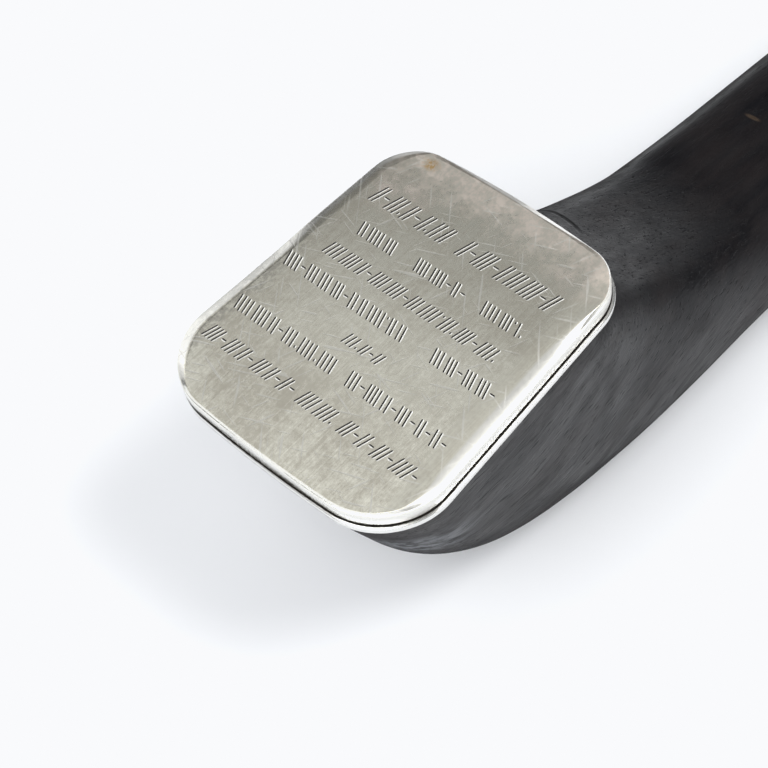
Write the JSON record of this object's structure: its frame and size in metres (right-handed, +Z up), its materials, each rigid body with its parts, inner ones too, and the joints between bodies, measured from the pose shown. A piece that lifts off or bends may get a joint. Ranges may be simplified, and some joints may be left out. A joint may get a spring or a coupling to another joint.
{
  "type": "ceremonial gavel",
  "caption": "One-piece dark wooden gavel: curled-up head with a slanting silver plate on a base sheet, and an oval handle lying on its flat sole.",
  "frame": {"origin": "on the flat sole, on the centre line, where the curve of the head runs out into the handle", "axes": "+Y along the handle towards its free end, +Z up from the table, +X to the right when the plate is read from the front; the head is at -Y"},
  "size_m": [0.0397, 0.2056, 0.0454],
  "materials": {
    "dark_hardwood": "near-black hardwood, fine open pores, hand-rubbed satin",
    "base_silver": "thin silver sheet, satin",
    "cap_silver": "silver, lengthwise satin brushing with fine scratches"
  },
  "bodies": {
    "root": {"wooden_body": "dark_hardwood", "silver_base_sheet": "base_silver", "silver_cap": "cap_silver"}
  },
  "joints": []
}
